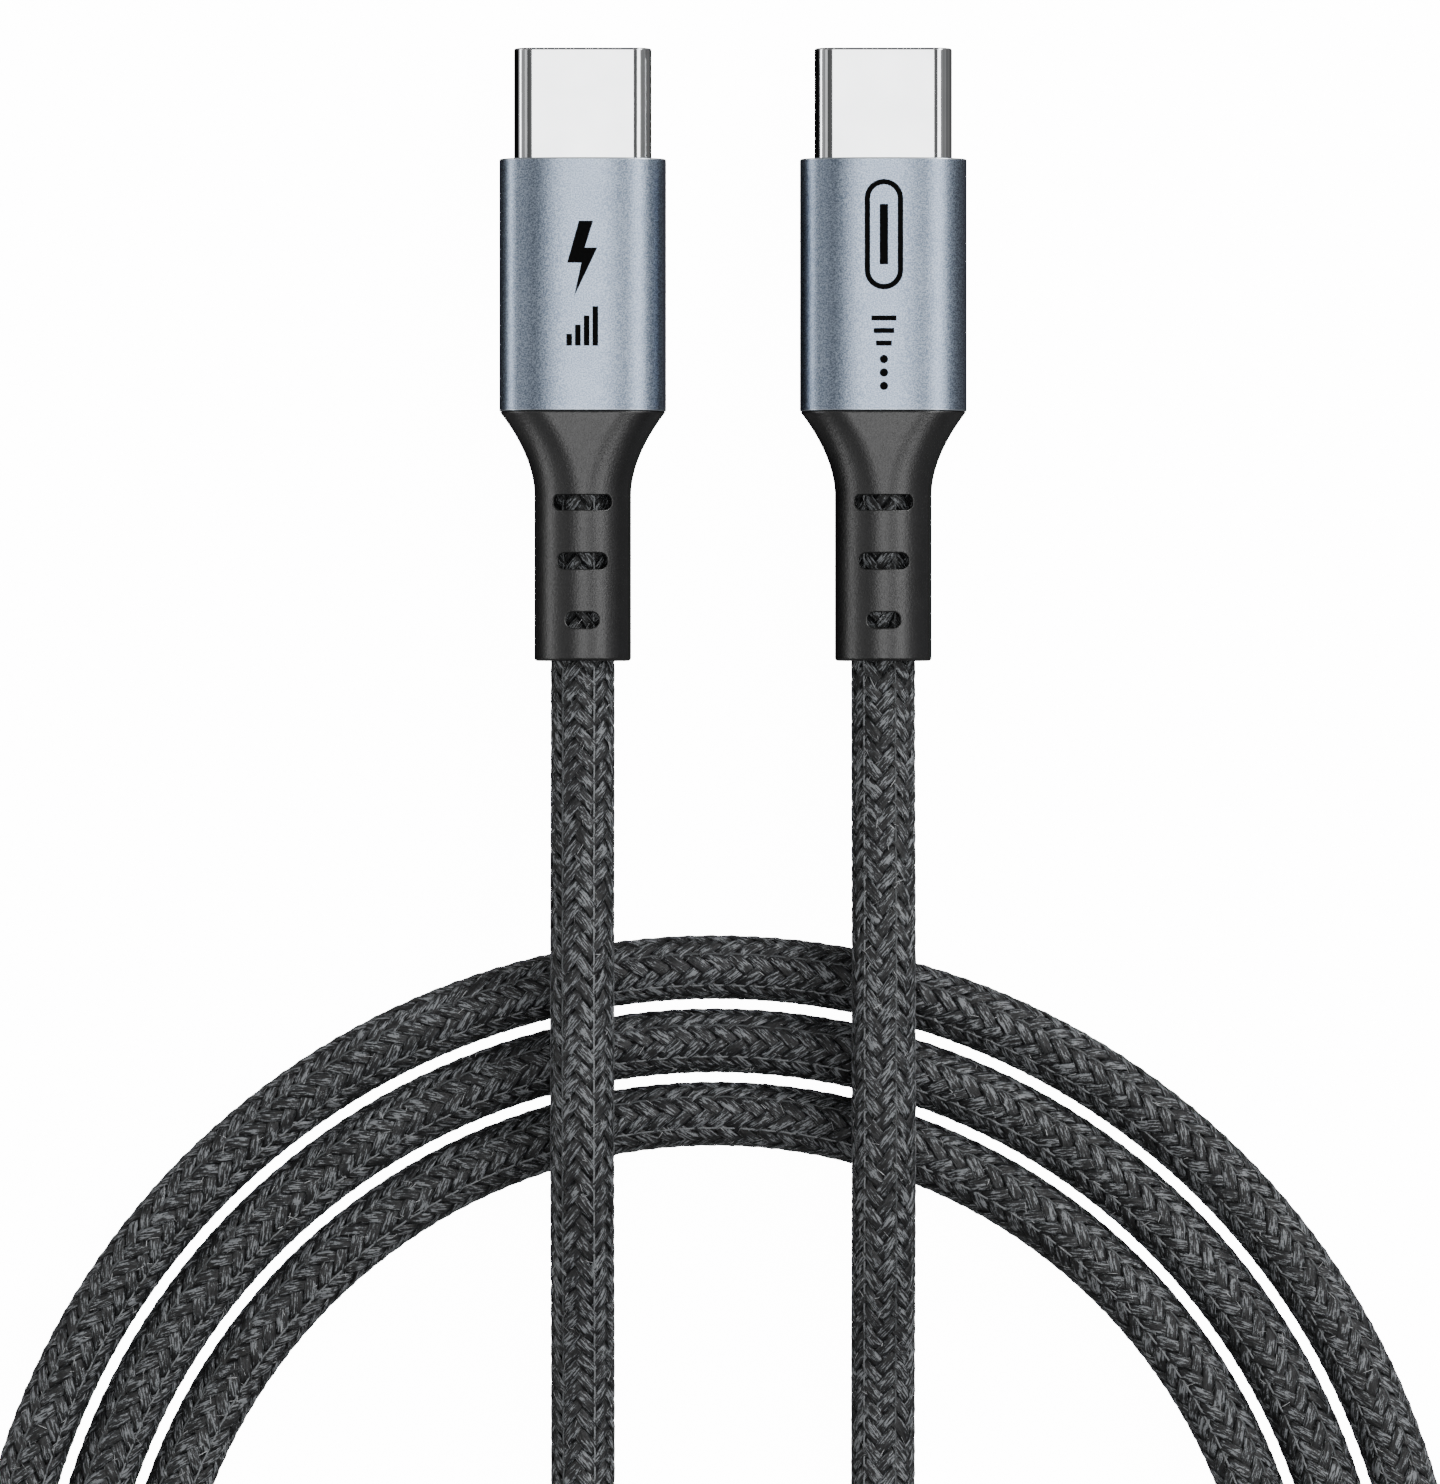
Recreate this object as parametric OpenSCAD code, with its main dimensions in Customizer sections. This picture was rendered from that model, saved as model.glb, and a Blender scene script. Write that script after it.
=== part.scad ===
// Charging cable: a braided cord laid in a flat coil, with the same flat reversible plug on each end.
// +Z is up and the surface that the cable lies on is z = 0. Both plugs point along +Y.
// The origin lies midway between the plugs and midway along their length.

/* [Plug shell] */
// Width of the steel shell
shell_w = 8.25; // [8.20:0.01:8.30]
// Height of the steel shell
shell_h = 2.40; // [2.38:0.01:2.44]
// Length of the shell that stands out of the housing
shell_reach = 6.65; // [6.4:0.05:7]
// Thickness of the shell's sheet
shell_wall = 0.30; // [0.28:0.01:0.31]

/* [Housing] */
// Width of the aluminium housing
housing_w = 10; // [9.9:0.1:11]
// Height of the aluminium housing
housing_h = 6; // [5.9:0.1:6.4]
// Length of the aluminium housing
housing_l = 15.1; // [15:0.1:17]
// Thickness of the housing's side walls
housing_wall = 0.6; // [0.5:0.05:0.65]
// Thickness of the housing's front wall
housing_front = 0.8; // [0.6:0.1:1]

/* [Strain relief] */
// Length of the rubber strain relief behind the housing
relief_l = 14.95; // [14:0.05:16]
// Diameter of its round neck
neck_d = 5.8; // [5.6:0.1:5.8]
// Length over which it narrows from the housing to the neck
flare_l = 5; // [4:0.1:5.2]
// How hollow the narrowing is, where 1 is straight
flare_power = 1.85; // [1.2:0.05:2.4]
// Lengths of the flex slots across the neck, from the housing back
slot_lengths = [3.55, 3.05, 2.05];
// Width of each flex slot
slot_w = 1; // [0.8:0.1:1.2]
// Distance from one flex slot to the next
slot_pitch = 3.53; // [3:0.01:3.6]

/* [Cord] */
// Diameter of the braided cord
cord_d = 3.8; // [3.6:0.1:3.8]
// Distance between the two plugs' axes
plug_spacing = 18; // [16:0.5:20]
// Radius of the innermost turn's centreline
coil_r = 34.3; // [34:0.1:34.6]
// Distance from one turn to the next
coil_pitch = 4.4; // [4.2:0.1:4.4]

/* [Contacts] */
// Distance between neighbouring contacts
contact_pitch = 0.5; // [0.48:0.01:0.5]
// Width of a contact
contact_w = 0.25; // [0.2:0.01:0.26]
// Thickness of a contact's strip
contact_t = 0.15; // [0.1:0.01:0.15]

/* [Hidden] */
$fn = 48;
SIDES = ["left", "right"];
PLUG_PARTS = [
    "shell", "insulator", "contacts_upper", "contacts_lower", "ground_spring_upper",
    "ground_spring_lower", "latch_left", "latch_right", "paddle_board", "power_wire",
    "ground_wire", "control_wire", "data_wire_plus", "data_wire_minus", "inner_mould",
    "housing", "strain_relief", "cable_end"
];

// A cut runs this far past the face that it opens.
past = 1;
// Gap around a piece that sits in a pocket of another
seat = 0.05;

// Stations along a plug, from the tip back
plug_l = shell_reach + housing_l + relief_l;
tip_y = plug_l / 2;
front_y = tip_y - shell_reach;
back_y = front_y - housing_l;
end_y = -plug_l / 2;
shell_back_y = front_y - 3.75;

// Insulator and the slot that takes the socket's tongue
insulator_w = shell_w - 2 * shell_wall - seat;
insulator_h = shell_h - 2 * shell_wall - seat;
insulator_front_y = tip_y - 0.15;
insulator_back_y = shell_back_y + 1.95;
tongue_slot_w = 6.75;
tongue_slot_h = 0.95;
tongue_slot_y = tip_y - 5.85;
mouth_h = 1.4;
mouth_y = tip_y - 1.45;
groove_w = 0.3;
groove_z = 0.78;
latch_gap_y = tip_y - 0.95;
latch_gap_h = 0.72;

// Contacts: places along the row, then the strip's upper side as [y, z] from the tail to the tip
upper_row = [1, 4, 5, 6, 7, 9, 12];
lower_row = [1, 4, 8, 9, 12];
row_places = 12;
board_t = 0.6;
contact_line = [
    [shell_back_y + 0.35, board_t / 2 + contact_t],
    [shell_back_y + 1.55, board_t / 2 + contact_t],
    [shell_back_y + 2.25, 0.7],
    [tip_y - 3.95, 0.7],
    [tip_y - 2.25, 0.43],
    [tip_y - 1.75, 0.58]
];

// Ground springs, just inside the mouth
ground_spring_w = 6.2;
ground_spring_l = 1.15;
ground_spring_t = 0.1;
finger_places = [-2, 0, 2];
finger_w = 1.1;
finger_drop = 0.14;

// Latch arms: a spring strip whose hook reaches into the tongue slot
latch_pivot_y = front_y - 0.4;
latch_in = 3.39;
latch_t = 0.15;
latch_h = 0.6;
latch_end_y = tip_y - 1.45;
hook_y = tip_y - 2.05;
hook_reach = 0.27;
anchor_t = 0.36;
anchor_l = 0.6;

// Board and wires
board_w = 7;
board_l = 6;
board_y = shell_back_y + 1.75;
wire_start_y = board_y - 4.1;
wire_bend_y = board_y - board_l + 0.15;
mould_gap = 0.03;
mould_w = housing_w - 2 * housing_wall - 2 * seat;
mould_h = housing_h - 2 * housing_wall - 2 * seat;
mould_front_y = front_y - housing_front - 2 * seat;
mould_back_y = back_y + 2.95;
// The ball at a wire's bend stands this far out of it.
elbow_extra = 0.02;
// A wire comes in at a slant, so it ends this far ahead of the cord's own end.
wire_end_gap = 0.2;
spigot_l = 2.8;
spigot_y = back_y + spigot_l;
// [radius, place across the board, side of the board, place in the cord as x and z]
power_run = [0.45, 2.2, 1, [0.75, 0.35]];
ground_run = [0.45, -2.2, 1, [-0.75, 0.35]];
control_run = [0.35, 0, 1, [0, 1.05]];
data_plus_run = [0.35, 1.1, -1, [0.5, -0.75]];
data_minus_run = [0.35, -1.1, -1, [-0.5, -0.75]];
wire_runs = [power_run, ground_run, control_run, data_plus_run, data_minus_run];

// Strain relief
flare_steps = 9;
flare_arc_steps = 24;
slot_y = back_y - 5.46;
slot_floor_z = 0.7;
relief_edge = 0.2;

// The cord rests on the surface, climbs over the turns that it crosses, and ends in the plugs.
floor_z = cord_d / 2;
over_z = floor_z + cord_d + 0.1;
exit_z = housing_h / 2;
leg_x = plug_spacing / 2;
coil_centre = [-1.1, -79.8];
turn_count = 3;
turn_start = -45;
turn_end = 945;
turn_step = 15;
shift_start = 226;
shift_end = 312;

// Points along the left lead, from its plug down into the coil
left_points = [
    [-leg_x, end_y, exit_z],
    [-leg_x, -20, exit_z],
    [-leg_x, -25, 3.5],
    [-leg_x, -30, 4.7],
    [-leg_x, -36, over_z],
    [-leg_x, -42, over_z],
    [-leg_x, -48, over_z],
    [-leg_x, -54, 4.6],
    [-leg_x, -60, 2.5],
    [-leg_x, -66, floor_z],
    [-leg_x, -78, floor_z],
    [-leg_x, -86, floor_z],
    [-8.9, -93, floor_z],
    [-7.5, -98.6, floor_z],
    [-4.4, -103.8, floor_z],
    [0.1, -107.6, floor_z],
    [5.6, -109.6, floor_z],
    [11.2, -109.7, floor_z],
    [16.6, -108.4, floor_z]
];

// Points along the right lead, from the coil over its inner turns and up to its plug
right_points = [
    [-25.2, -115.5, 3.2],
    [-18.6, -119.1, 5.1],
    [-12.6, -120.8, over_z],
    [-7, -120.7, over_z],
    [-1.6, -118.7, over_z],
    [3.2, -115, over_z],
    [6.8, -109.8, over_z],
    [8.6, -104, 4.8],
    [leg_x, -98, 2.6],
    [leg_x, -91, floor_z],
    [leg_x, -78, floor_z],
    [leg_x, -66, floor_z],
    [leg_x, -60, 2.5],
    [leg_x, -54, 4.6],
    [leg_x, -48, over_z],
    [leg_x, -42, over_z],
    [leg_x, -36, over_z],
    [leg_x, -30, 4.7],
    [leg_x, -25, 3.5],
    [leg_x, -20, exit_z],
    [leg_x, end_y, exit_z]
];

// A turn keeps its radius except where it shifts outwards by one pitch.
function eased(t) = let (u = min(max(t, 0), 1)) u * u * (3 - 2 * u);
function whole_turns(a) = max(0, floor(a / 360));
function shift(a) = eased((a - 360 * whole_turns(a) - shift_start) / (shift_end - shift_start));
function turn_radius(a) = coil_r + coil_pitch * (whole_turns(a) + shift(a));
function turn_point(a) = [
    coil_centre.x + turn_radius(a) * cos(a),
    coil_centre.y + turn_radius(a) * sin(a),
    floor_z
];
coil_points = [for (a = [turn_start : turn_step : turn_end]) turn_point(a)];

// A smooth curve through points: the slope at each comes from its neighbours.
function slope(p, i) =
    i == 0 ? (p[1] - p[0]) / norm(p[1] - p[0]) :
    i == len(p) - 1 ? (p[i] - p[i - 1]) / norm(p[i] - p[i - 1]) :
    let (
        before = norm(p[i] - p[i - 1]),
        after = norm(p[i + 1] - p[i])
    )
    ((p[i] - p[i - 1]) / before * after + (p[i + 1] - p[i]) / after * before) / (before + after);
function curve_point(p, i, u) =
    let (
        reach = norm(p[i + 1] - p[i]),
        place = (2 * u ^ 3 - 3 * u ^ 2 + 1) * p[i] + (3 * u ^ 2 - 2 * u ^ 3) * p[i + 1]
            + (u ^ 3 - 2 * u ^ 2 + u) * reach * slope(p, i)
            + (u ^ 3 - u ^ 2) * reach * slope(p, i + 1)
    )
    [place.x, place.y, max(place.z, floor_z)];

// One ring of a tube's eight corners around a point, upright and square to the cord's direction
tube_sides = 8;
function unit(v) = v / norm(v);
function ring(centre, along) =
    let (
        across = unit(cross(along, [0, 0, 1])),
        up = cross(across, along)
    )
    [for (k = [0 : tube_sides - 1])
        let (a = 360 * k / tube_sides)
        centre + cord_d / 2 * (cos(a) * across + sin(a) * up)];

// Faces that join rings of equal size into a closed solid
function skin(rings, sides) = concat(
    [[for (k = [0 : sides - 1]) k]],
    [for (i = [0 : rings - 2]) for (k = [0 : sides - 1])
        let (next = (k + 1) % sides)
        [i * sides + k, (i + 1) * sides + k, (i + 1) * sides + next, i * sides + next]],
    [[for (k = [sides - 1 : -1 : 0]) (rings - 1) * sides + k]]
);

// A tube along points first to last of a route
module tube(p, first, last) {
    rings = [for (i = [first : last]) ring(p[i], unit(slope(p, i)))];
    points = [for (one = rings) for (corner = one) corner];
    polyhedron(points, skin(len(rings), tube_sides), convexity = 10);
}

// The same route with one more point in every stretch
function doubled(p) = concat(
    [for (i = [0 : len(p) - 2]) for (u = [0, 0.5]) curve_point(p, i, u)],
    [p[len(p) - 1]]
);

module stadium(w, h) {
    square([w - h, h], center = true);
    for (x = [-1, 1])
        translate([x * (w - h) / 2, 0]) circle(d = h);
}

// A bar of stadium section from one station along Y to another
module stadium_bar(w, h, from_y, to_y) {
    translate([0, to_y, 0])
        rotate([90, 0, 0])
            linear_extrude(to_y - from_y) stadium(w, h);
}

module rod(r, from_y, to_y) {
    translate([0, to_y, 0])
        rotate([90, 0, 0])
            cylinder(r = r, h = to_y - from_y);
}

// A box centred on X and Z, from one station along Y to another
module block(w, h, from_y, to_y) {
    translate([-w / 2, from_y, -h / 2])
        cube([w, to_y - from_y, h]);
}

// A straight rod between any two points
module strut(r, from, to) {
    run = to - from;
    translate(from)
        rotate([0, acos(run.z / norm(run)), atan2(run.y, run.x)])
            cylinder(r = r, h = norm(run));
}

module shell() {
    color("#dcdedf")
    difference() {
        stadium_bar(shell_w, shell_h, shell_back_y, tip_y);
        stadium_bar(shell_w - 2 * shell_wall, shell_h - 2 * shell_wall, shell_back_y - past, tip_y + past);
    }
}

function place_x(i) = (i - (row_places + 1) / 2) * contact_pitch;

module insulator() {
    color("#1c1d1f")
    difference() {
        stadium_bar(insulator_w, insulator_h, insulator_back_y, insulator_front_y);
        block(tongue_slot_w, tongue_slot_h, tongue_slot_y, tip_y);
        block(tongue_slot_w, mouth_h, mouth_y, tip_y);
        for (i = [1 : row_places])
            translate([place_x(i), 0, 0])
                for (s = [-1, 1])
                    translate([0, 0, s * (groove_z + 0.3) / 2])
                        block(groove_w, groove_z - 0.3, insulator_back_y - past, mouth_y + seat);
        for (s = [-1, 1])
            translate([s * (latch_in + 0.2), 0, 0])
                block(0.62, latch_gap_h, latch_pivot_y - 1, latch_gap_y);
    }
}

// A strip of one thickness that follows a line of [y, z] points on its upper side
module strip(line, w, t) {
    under = [for (i = [len(line) - 1 : -1 : 0]) line[i] - [0, t]];
    translate([-w / 2, 0, 0])
        rotate([90, 0, 90])
            linear_extrude(w) polygon(concat(line, under));
}

module contact_row(places) {
    color("#d9b25a")
    for (i = places)
        translate([place_x(i), 0, 0])
            strip(contact_line, contact_w, contact_t);
}

module contacts_upper() {
    contact_row(upper_row);
}

module contacts_lower() {
    mirror([0, 0, 1]) contact_row(lower_row);
}

module ground_spring_upper() {
    top = mouth_h / 2 - 0.01;
    start_y = mouth_y + seat;
    bend = ground_spring_l / 3;
    finger_line = [
        [start_y, top],
        [start_y + bend, top - finger_drop],
        [start_y + 2 * bend, top - finger_drop],
        [start_y + 3 * bend, top]
    ];
    color("#c9cccf")
    union() {
        translate([0, 0, top - ground_spring_t / 2])
            block(ground_spring_w, ground_spring_t, start_y, start_y + ground_spring_l);
        for (x = finger_places)
            translate([x, 0, 0])
                strip(finger_line, finger_w, ground_spring_t);
    }
}

module ground_spring_lower() {
    mirror([0, 0, 1]) ground_spring_upper();
}

// The arm on the +X side turns about the round end of its anchor, and its hook points in at the slot.
module latch_right() {
    outer = latch_in + latch_t;
    outline = [
        [latch_in, latch_pivot_y],
        [latch_in + anchor_t, latch_pivot_y],
        [latch_in + anchor_t, latch_pivot_y + anchor_l],
        [outer, latch_pivot_y + anchor_l + 0.3],
        [outer, latch_end_y],
        [latch_in, latch_end_y],
        [latch_in - hook_reach, hook_y + 0.15],
        [latch_in - hook_reach, hook_y],
        [latch_in, hook_y - 0.4]
    ];
    color("#c9cccf")
    translate([0, 0, -latch_h / 2])
        linear_extrude(latch_h) {
            polygon(outline);
            translate([latch_in + anchor_t / 2, latch_pivot_y]) circle(d = anchor_t);
        }
}

module latch_left() {
    mirror([1, 0, 0]) latch_right();
}

module paddle_board() {
    color("#1f5a3a") block(board_w, board_t, board_y - board_l, board_y);
}

// A wire lies on the board, bends, and runs straight into the cord. One on the -X side is mirrored.
module wire_run(run, extra = 0) {
    r = run[0] + extra;
    z = run[2] * (board_t / 2 + run[0]);
    start = [abs(run[1]), wire_start_y + extra, z];
    bend = [abs(run[1]), wire_bend_y, z];
    finish = [abs(run[3].x), spigot_y + wire_end_gap, run[3].y];
    mirror([run[1] < 0 ? 1 : 0, 0, 0])
        union() {
            strut(r, bend, start);
            translate(bend) sphere(r = r + elbow_extra);
            strut(r, finish, bend);
        }
}

module power_wire() {
    color("#b3262a") wire_run(power_run);
}

module ground_wire() {
    color("#2a2a2c") wire_run(ground_run);
}

module control_wire() {
    color("#2f5fa8") wire_run(control_run);
}

module data_wire_plus() {
    color("#2f8a4a") wire_run(data_plus_run);
}

module data_wire_minus() {
    color("#e4e4e0") wire_run(data_minus_run);
}

module inner_mould() {
    color("#e9e7df")
    difference() {
        stadium_bar(mould_w, mould_h, mould_back_y, mould_front_y);
        stadium_bar(shell_w + mould_gap, shell_h + mould_gap, shell_back_y - mould_gap, mould_front_y + past);
        block(board_w + mould_gap, board_t + mould_gap, board_y - board_l - mould_gap, board_y);
        for (run = wire_runs) wire_run(run, mould_gap);
    }
}

module housing() {
    color("#8d97a3")
    difference() {
        stadium_bar(housing_w, housing_h, back_y, front_y);
        stadium_bar(housing_w - 2 * housing_wall, housing_h - 2 * housing_wall,
            back_y - past, front_y - housing_front);
        stadium_bar(shell_w + 2 * seat, shell_h + 2 * seat, back_y, front_y + past);
    }
}

// The stadium outline of the flare at part u of its length, from 0 at the housing to 1 at the neck
function flare_ring(u) =
    let (
        neck_r = neck_d / 2,
        open = (1 - u) ^ flare_power,
        half_w = neck_r + (housing_w / 2 - seat - neck_r) * open,
        half_h = neck_r - 0.01 + (housing_h / 2 - seat - neck_r) * open,
        y = back_y - u * flare_l
    )
    [for (side = [0, 1]) for (k = [0 : flare_arc_steps])
        let (
            a = side * 180 - 90 + 180 * k / flare_arc_steps,
            middle = (side == 0 ? 1 : -1) * (half_w - half_h)
        )
        [middle + half_h * cos(a), y, half_h * sin(a)]];

module flare() {
    rings = [for (i = [0 : flare_steps]) flare_ring(i / flare_steps)];
    points = [for (one = rings) for (corner = one) corner];
    polyhedron(points, skin(len(rings), 2 * (flare_arc_steps + 1)), convexity = 4);
}

// The neck, with a rounded edge at its free end
module neck() {
    r = neck_d / 2;
    rod(r, end_y + relief_edge, back_y - flare_l + seat);
    rod(r - relief_edge, end_y, end_y + relief_edge);
    translate([0, end_y + relief_edge, 0])
        rotate([90, 0, 0])
            rotate_extrude()
                translate([r - relief_edge, 0]) circle(r = relief_edge);
}

// A slot across the neck, cut down beside the cord
module flex_slot(l, y) {
    translate([0, y, slot_floor_z]) {
        translate([-(l - slot_w) / 2, -slot_w / 2, 0])
            cube([l - slot_w, slot_w, housing_h]);
        for (x = [-1, 1])
            translate([x * (l - slot_w) / 2, 0, 0])
                cylinder(d = slot_w, h = housing_h);
    }
}

module strain_relief() {
    color("#2b2b2c")
    difference() {
        union() {
            stadium_bar(mould_w, mould_h, back_y - seat, spigot_y - seat);
            flare();
            neck();
        }
        rod(cord_d / 2 + seat, end_y - past, spigot_y + past);
        for (i = [0 : len(slot_lengths) - 1])
            for (turn = [0, 180])
                rotate([0, turn, 0])
                    flex_slot(slot_lengths[i], slot_y - i * slot_pitch);
    }
}

module cable_end() {
    color("#3a3b3d") rod(cord_d / 2, end_y, spigot_y);
}

module left_lead() {
    route = doubled(concat(left_points, [for (i = [0 : 2]) coil_points[i]]));
    color("#3a3b3d") tube(route, 0, 2 * len(left_points));
}

module coil() {
    middle = coil_r + (turn_count - 1) * coil_pitch / 2;
    color("#3a3b3d")
    translate([coil_centre.x, coil_centre.y, floor_z])
        rotate_extrude()
            translate([middle, 0])
                stadium((turn_count - 1) * coil_pitch + cord_d, cord_d);
}

module right_lead() {
    last = len(coil_points) - 1;
    route = concat([for (i = [last - 2 : last]) coil_points[i]], right_points);
    color("#3a3b3d") tube(doubled(route), 4, 2 * len(route) - 2);
}

for (side = SIDES)
    translate([(side == "left" ? -1 : 1) * leg_x, 0, housing_h / 2]) {
        shell();
        insulator();
        contacts_upper();
        contacts_lower();
        ground_spring_upper();
        ground_spring_lower();
        latch_left();
        latch_right();
        paddle_board();
        power_wire();
        ground_wire();
        control_wire();
        data_wire_plus();
        data_wire_minus();
        inner_mould();
        housing();
        strain_relief();
        cable_end();
    }
left_lead();
coil();
right_lead();
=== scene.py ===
"""Charging cable: a braided cord in a flat coil, with a plug and a strain relief on each end."""

import math

import bmesh
import bpy
import numpy as np
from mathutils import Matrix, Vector


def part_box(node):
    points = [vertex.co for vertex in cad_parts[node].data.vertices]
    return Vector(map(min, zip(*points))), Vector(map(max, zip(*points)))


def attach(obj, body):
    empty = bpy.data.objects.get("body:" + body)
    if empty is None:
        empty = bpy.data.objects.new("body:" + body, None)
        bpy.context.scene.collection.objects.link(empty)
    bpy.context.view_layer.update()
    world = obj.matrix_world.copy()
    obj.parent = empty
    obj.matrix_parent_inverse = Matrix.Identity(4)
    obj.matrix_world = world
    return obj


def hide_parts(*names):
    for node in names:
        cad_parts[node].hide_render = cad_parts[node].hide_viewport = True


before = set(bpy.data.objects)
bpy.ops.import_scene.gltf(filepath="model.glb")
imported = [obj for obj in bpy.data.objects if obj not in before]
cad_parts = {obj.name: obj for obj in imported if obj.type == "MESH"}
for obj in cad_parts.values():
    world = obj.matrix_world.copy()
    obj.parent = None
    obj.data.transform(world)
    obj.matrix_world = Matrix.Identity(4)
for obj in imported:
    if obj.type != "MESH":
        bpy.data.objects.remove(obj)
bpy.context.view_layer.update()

bl_info = {
    "name": "Charging Cable",
    "version": (1, 0, 0),
    "blender": (4, 5, 0),
    "location": "View3D > Sidebar > Cable",
    "description": "Builds a coiled, braided charging cable around its CAD frame",
    "category": "Add Mesh",
}

MM = 0.001
SIDES = ("left", "right")

# Heights of the cord's centre: on the floor, over the coil and where it leaves a plug.
FLOOR_Z = 0.00196
OVER_Z = 0.00588
EXIT_Z = 0.003
# Each plug's distance from the middle, and where the cord leaves it.
LEG_X = 0.009
END_Y = -0.01835

# The cord's route. Both legs leave their plugs and pass over the coil alike, as (y, z).
LEG = [
    (END_Y, EXIT_Z), (-0.020, EXIT_Z), (-0.025, 0.0035),
    (-0.030, 0.0047), (-0.036, OVER_Z), (-0.042, OVER_Z),
    (-0.048, OVER_Z), (-0.054, 0.0046), (-0.060, 0.0025),
    (-0.066, FLOOR_Z), (-0.078, FLOOR_Z),
]
# The left leg bends into the innermost turn.
LEFT_ROUTE = [(-LEG_X, y, z) for y, z in LEG] + [
    (-LEG_X, -0.086, FLOOR_Z), (-0.0089, -0.0930, FLOOR_Z),
    (-0.0075, -0.0986, FLOOR_Z), (-0.0044, -0.1038, FLOOR_Z),
    (0.0001, -0.1076, FLOOR_Z), (0.0056, -0.1096, FLOOR_Z),
    (0.0112, -0.1097, FLOOR_Z), (0.0166, -0.1084, FLOOR_Z),
]
# The outermost turn crosses the others and straightens into the right leg.
RIGHT_ROUTE = [
    (-0.0252, -0.1155, 0.0032), (-0.0186, -0.1191, 0.0051),
    (-0.0126, -0.1208, OVER_Z), (-0.0070, -0.1207, OVER_Z),
    (-0.0016, -0.1187, OVER_Z), (0.0032, -0.1150, OVER_Z),
    (0.0068, -0.1098, OVER_Z), (0.0086, -0.1040, 0.0048),
    (LEG_X, -0.098, 0.0026), (LEG_X, -0.091, FLOOR_Z),
] + [(LEG_X, y, z) for y, z in reversed(LEG)]
COIL_CENTRE = (-0.0011, -0.0798)
# Degrees round the coil: the turns, and the part of each turn that shifts outwards.
TURN_START, TURN_END, TURN_STEP = -45, 945, 15
SHIFT_START, SHIFT_END = 226, 312

# Lengths of the strain relief's slots, from the housing towards the cord.
SLOT_LENGTHS = (3.55 * MM, 3.05 * MM, 2.05 * MM)


def colour(text):
    """A linear colour from an sRGB hex text such as '8b95a1'."""
    parts = [int(text[i : i + 2], 16) / 255 for i in (0, 2, 4)]
    linear = [p / 12.92 if p <= 0.04045 else ((p + 0.055) / 1.055) ** 2.4 for p in parts]
    return (*linear, 1.0)


# ------------ settings


def length(name, description, default, low, high):
    """A length property, from millimetres to metres."""
    sizes = {"default": default * MM, "min": low * MM, "max": high * MM, "precision": 5}
    return bpy.props.FloatProperty(name=name, description=description, unit="LENGTH", **sizes)


def ratio(name, description, default, low=0.0, high=100.0, subtype="NONE"):
    """A plain number, or an angle or a power where the subtype says so."""
    limits = {"default": default, "min": low, "max": high, "subtype": subtype}
    return bpy.props.FloatProperty(name=name, description=description, **limits)


def whole(name, description, default, low, high):
    """A whole number property."""
    return bpy.props.IntProperty(
        name=name, description=description, default=default, min=low, max=high
    )


def paint(name, description, default):
    """A colour property whose default is an sRGB hex text."""
    sizes = {"default": colour(default), "size": 4, "min": 0, "max": 1, "subtype": "COLOR"}
    return bpy.props.FloatVectorProperty(name=name, description=description, **sizes)


class CableCordSettings(bpy.types.PropertyGroup):
    """Sizes and colours of the cord and its braid."""

    diameter: length("Diameter", "Over the braid", 3.8, 3, 5)
    core: length("Core diameter", "The jacket under the braid", 2.96, 2.7, 3.4)
    coil_radius: length("Innermost turn", "Radius of the coil's first turn", 34.3, 20, 60)
    coil_pitch: length("Turn to turn", "From one turn to the next", 4.4, 3.8, 8)
    inside: length("Length in a plug", "Cord held in each plug", 17.75, 0, 20)
    yarns: whole("Yarns each way", "Yarns that wind each way", 12, 8, 16)
    lay: length("Lay", "Cord in which a yarn goes round once", 15, 8, 30)
    yarn_width: length("Yarn width", "Width of one yarn", 0.78, 0.3, 1.2)
    yarn_height: length("Yarn thickness", "Thickness of one yarn", 0.2, 0.1, 0.4)
    first_seam: ratio(
        "First seam", "Angle of the first straight yarn", math.radians(21.3), subtype="ANGLE"
    )
    twist: ratio("Twist", "Twist from end to end", math.radians(17.4), subtype="ANGLE")
    stray_fibres: whole("Stray fibres", "Loose fibres in each of two lots", 10000, 1, 11000)
    dark: paint("Yarn, dark", "Shaded filaments", "0a0a0b")
    middle: paint("Yarn, middle", "Most filaments", "151617")
    light: paint("Yarn, light", "Bright filaments", "76797c")


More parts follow.
